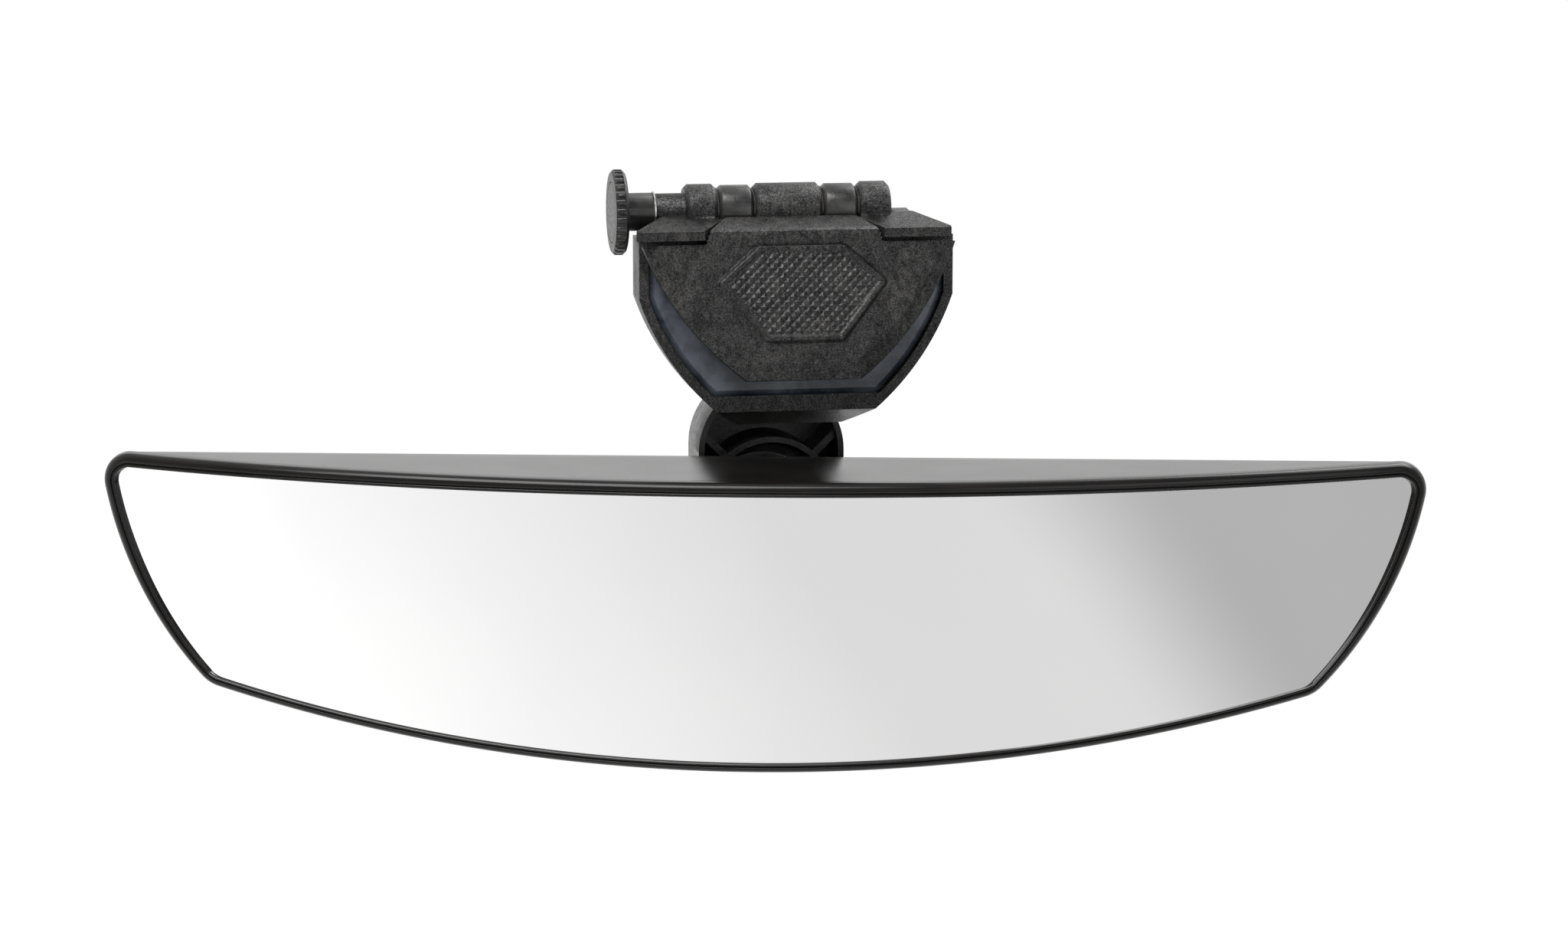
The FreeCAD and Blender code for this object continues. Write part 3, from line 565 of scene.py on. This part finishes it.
def grip_panel():
    """The hexagonal panel on the front jaw, as one relief."""
    step = 0.2
    half_x, low, high = 25.0, -29.0, 2.0
    columns, rows = int(2 * half_x / step), int((high - low) / step)
    points, index = [], {}
    for i in range(columns + 1):
        for j in range(rows + 1):
            x, z = -half_x + i * step, low + j * step
            height = grip_height(x, z)
            if height > -0.055:
                index[i, j] = len(points)
                points.append(TO_PLATE @ Vector((x * MM, -height * MM, z * MM)))
    faces = []
    for i, j in index:
        ring = ((i, j), (i + 1, j), (i + 1, j + 1), (i, j + 1))
        if all(corner in index for corner in ring):
            faces.append(tuple(index[corner] for corner in ring))
    mesh = mesh_from("grip_relief", points, faces, smooth=False)
    return finish_piece("grip_relief", mesh, "front_clamp", "textured_nylon")


bezel()
glass()
housing()
grip_panel()


# ---------------------------------------------------------------- studio

WORLD_WHITE = 1.15
WORLD_MIDDLE = 0.755
WORLD_CARD = 0.475
WORLD_ABOVE = 0.35
WORLD_BEHIND = 1.0

# Where those tones change, in degrees to the right of straight ahead, and how far each edge leans for
# every degree of height above LEAN_LEVEL
LEFT_FADE = (-73.5, -14.7)
LEFT_LEAN = 4.5
CARD_EDGE = (4.2, 23.8)
CARD_LEAN = 5.3
LEAN_LEVEL = -10.4


def pale_floor():
    """A plain pale floor under the mirror, fading out before it reaches the backdrop."""
    radius, fade_from, rings, spokes = 1.0, 0.45, 24, 96
    height = cad_box[0].z - 0.23
    loops = []
    for i in range(1, rings + 1):
        reach = radius * i / rings
        turns = [2 * math.pi * j / spokes for j in range(spokes)]
        loops.append([(reach * math.cos(turn), reach * math.sin(turn), height) for turn in turns])
    points, faces = bridge(loops)
    faces.append(tuple(range(spokes)))
    mesh = bpy.data.meshes.new("floor")
    mesh.from_pydata(points, [], faces)
    floor = bpy.data.objects.new("floor", mesh)
    bpy.context.scene.collection.objects.link(floor)
    s = Shader("floor")
    grain = s.noise(40.0, 3.0)
    s.done(s.mixed(grain, (0.86, 0.86, 0.86), (0.9, 0.9, 0.9)), s.ramp(grain, 0.7, 0.8))
    flat = s.tree.nodes.new("ShaderNodeVectorMath")
    flat.operation = "MULTIPLY"
    flat.inputs[1].default_value = (1, 1, 0)
    s.link(s.place, flat.inputs[0])
    far = s.tree.nodes.new("ShaderNodeVectorMath")
    far.operation = "LENGTH"
    s.link(flat.outputs["Vector"], far.inputs[0])
    clear = s.tree.nodes.new("ShaderNodeBsdfTransparent")
    mix = s.tree.nodes.new("ShaderNodeMixShader")
    s.link(s.ramp(far.outputs["Value"], 0.0, 1.0, fade_from, radius * 0.96), mix.inputs["Fac"])
    s.link(s.surface.outputs["BSDF"], mix.inputs[1])
    s.link(clear.outputs["BSDF"], mix.inputs[2])
    s.link(mix.outputs["Shader"], s.tree.nodes["Material Output"].inputs["Surface"])
    mesh.materials.append(s.material)


def world_light():
    """A pale studio round the object. The convex glass shows its front half, below the horizon: bright to
    the left, a plateau in the middle, and a greyer card with a slanted soft edge to the right."""
    world = bpy.data.worlds.new("studio")
    bpy.context.scene.world = world
    world.use_nodes = True
    tree = world.node_tree
    nodes, links = tree.nodes, tree.links

    def maths(operation, first, second=0.0):
        node = nodes.new("ShaderNodeMath")
        node.operation = operation
        for socket, value in zip(node.inputs, (first, second)):
            if isinstance(value, (int, float)):
                socket.default_value = value
            else:
                links.new(value, socket)
        return node.outputs["Value"]

    def stepped(value, start, end, low, high, kind="SMOOTHSTEP"):
        node = nodes.new("ShaderNodeMapRange")
        node.interpolation_type = kind
        for name, number in (("From Min", start), ("From Max", end), ("To Min", low), ("To Max", high)):
            node.inputs[name].default_value = number
        links.new(value, node.inputs["Value"])
        return node.outputs["Result"]

    def chosen(factor, first, second):
        """first where factor is 0, second where it is 1."""
        kept = maths("MULTIPLY", first, maths("SUBTRACT", 1.0, factor))
        return maths("ADD", kept, maths("MULTIPLY", second, factor))

    split = nodes.new("ShaderNodeSeparateXYZ")
    links.new(nodes.new("ShaderNodeTexCoord").outputs["Generated"], split.inputs["Vector"])
    x, y, z = split.outputs
    degree = math.pi / 180
    azimuth = maths("DIVIDE", maths("ARCTAN2", x, maths("MULTIPLY", y, -1.0)), degree)
    elevation = maths("DIVIDE", maths("ARCSINE", z), degree)
    height = maths("ADD", elevation, -LEAN_LEVEL)
    fade = maths("ADD", azimuth, maths("MULTIPLY", height, LEFT_LEAN))
    card = maths("ADD", azimuth, maths("MULTIPLY", height, CARD_LEAN))
    left = stepped(fade, *LEFT_FADE, WORLD_WHITE, WORLD_MIDDLE, "LINEAR")
    front = chosen(stepped(card, *CARD_EDGE, 0.0, 1.0), left, WORLD_CARD)
    above = stepped(elevation, 4.0, 26.0, 0.0, 1.0)
    front = chosen(above, front, WORLD_ABOVE)
    behind = stepped(maths("ABSOLUTE", azimuth), 78.0, 112.0, 0.0, 1.0)
    strength = chosen(behind, front, WORLD_BEHIND)
    lit = nodes["Background"]
    lit.inputs["Color"].default_value = (1.0, 0.998, 0.996, 1)
    links.new(strength, lit.inputs["Strength"])
    seen = nodes.new("ShaderNodeBackground")
    seen.inputs["Color"].default_value = (1, 1, 1, 1)
    seen.inputs["Strength"].default_value = 1.0
    pick = nodes.new("ShaderNodeMixShader")
    links.new(nodes.new("ShaderNodeLightPath").outputs["Is Camera Ray"], pick.inputs["Fac"])
    links.new(lit.outputs["Background"], pick.inputs[1])
    links.new(seen.outputs["Background"], pick.inputs[2])
    links.new(pick.outputs["Shader"], nodes["World Output"].inputs["Surface"])


def area(name, place, size, power):
    """A soft white rectangular light aimed at the middle of the frame."""
    data = bpy.data.lights.new(name, "AREA")
    data.shape = "RECTANGLE"
    data.size, data.size_y = size
    data.energy = power
    light = bpy.data.objects.new(name, data)
    bpy.context.scene.collection.objects.link(light)
    light.location = place
    light.rotation_mode = "QUATERNION"
    light.rotation_quaternion = (-Vector(place)).to_track_quat("-Z", "Y")


def camera():
    """The camera at the viewing angle of a front three-quarter product shot."""
    data = bpy.data.cameras.new("camera")
    data.lens = 100.0
    data.sensor_width = 36.0
    data.clip_end = 50.0
    view = bpy.data.objects.new("camera", data)
    bpy.context.scene.collection.objects.link(view)
    back = Vector((
        math.sin(CAMERA_AZIMUTH) * math.cos(CAMERA_ELEVATION),
        -math.cos(CAMERA_AZIMUTH) * math.cos(CAMERA_ELEVATION),
        math.sin(CAMERA_ELEVATION),
    ))
    view.location = CAMERA_TARGET + back * CAMERA_DISTANCE
    facing = (-back).to_track_quat("-Z", "Y").to_matrix().to_4x4()
    view.rotation_mode = "QUATERNION"
    view.rotation_quaternion = (facing @ Matrix.Rotation(CAMERA_ROLL, 4, "Z")).to_quaternion()
    bpy.context.scene.camera = view


pale_floor()
world_light()
area("key", (-0.55, -0.55, 1.15), (1.0, 0.8), 30.0)
area("rim", (0.7, 0.35, 0.75), (0.9, 0.6), 10.0)
area("fill", (0.55, -1.1, 0.35), (0.9, 0.7), 3.0)
camera()
bpy.context.scene.view_settings.view_transform = "Standard"
